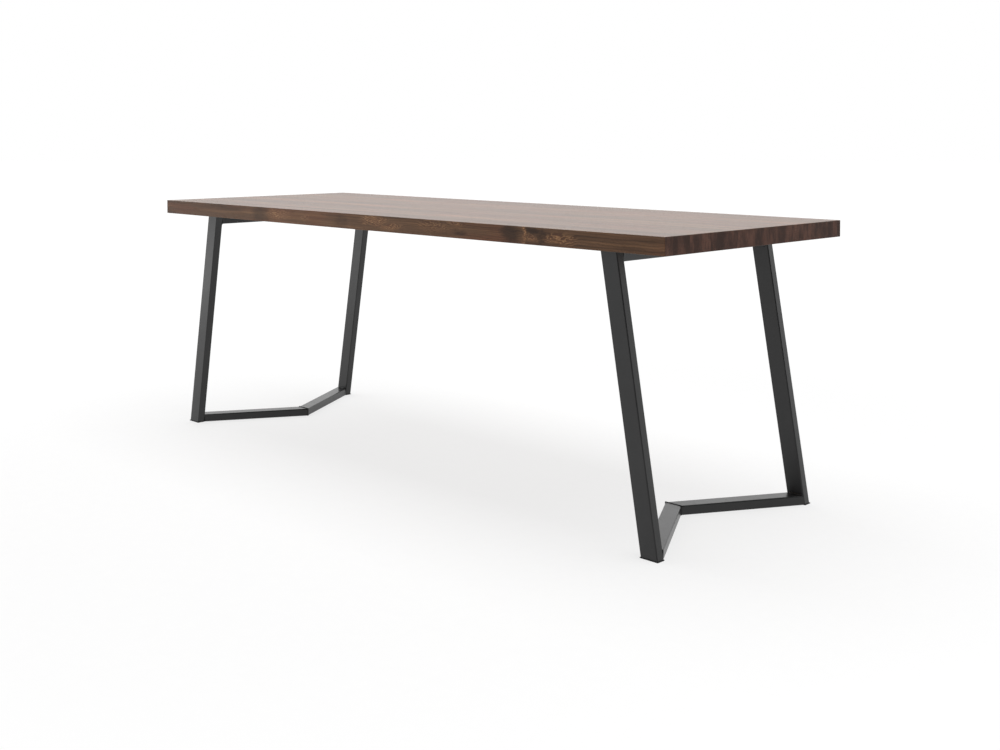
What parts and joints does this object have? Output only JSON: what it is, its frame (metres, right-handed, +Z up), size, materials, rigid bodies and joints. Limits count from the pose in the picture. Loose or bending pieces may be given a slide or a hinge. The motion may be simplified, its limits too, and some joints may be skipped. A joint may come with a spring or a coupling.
{
  "type": "butcher block table",
  "caption": "Long rectangular table with a thick glued-stave wood top on two black tube steel end frames, each with outward-leaning posts and a V-shaped floor rail.",
  "frame": {"origin": "on the floor, below the middle of the tabletop", "axes": "+Z up, +X along the table's length, -Y the front long side"},
  "size_m": [2.134, 0.762, 0.762],
  "materials": {
    "stained_wood": "dark walnut stain under a satin clear coat, rustic grain and knots",
    "black_powder_coat": "satin charcoal black powder coat, very fine orange peel",
    "black_joint_plate": "matte black coat on cut plate edges",
    "zinc_fastener": "bright zinc plate, slightly dull",
    "brass_insert": "turned brass"
  },
  "bodies": {
    "root": {"top_stave_1": "stained_wood", "top_stave_2": "stained_wood", "top_stave_3": "stained_wood", "top_stave_4": "stained_wood", "top_stave_5": "stained_wood", "top_stave_6": "stained_wood", "top_stave_7": "stained_wood", "top_stave_8": "stained_wood", "top_stave_9": "stained_wood", "top_stave_10": "stained_wood", "left_top_rail": "black_powder_coat", "left_rail_welds": "black_powder_coat", "left_vee_plate": "black_joint_plate", "left_mounting_bar": "black_powder_coat", "right_top_rail": "black_powder_coat", "right_rail_welds": "black_powder_coat", "right_vee_plate": "black_joint_plate", "right_mounting_bar": "black_powder_coat", "left_front_post": "black_powder_coat", "left_front_foot_cap": "black_joint_plate", "left_front_arm": "black_powder_coat", "left_front_arm_weld": "black_joint_plate", "left_rear_post": "black_powder_coat", "left_rear_foot_cap": "black_joint_plate", "left_rear_arm": "black_powder_coat", "left_rear_arm_weld": "black_joint_plate", "right_front_post": "black_powder_coat", "right_front_foot_cap": "black_joint_plate", "right_front_arm": "black_powder_coat", "right_front_arm_weld": "black_joint_plate", "right_rear_post": "black_powder_coat", "right_rear_foot_cap": "black_joint_plate", "right_rear_arm": "black_powder_coat", "right_rear_arm_weld": "black_joint_plate", "frame_bolts": "zinc_fastener", "bolt_washers": "zinc_fastener", "threaded_inserts": "brass_insert"}
  },
  "joints": []
}
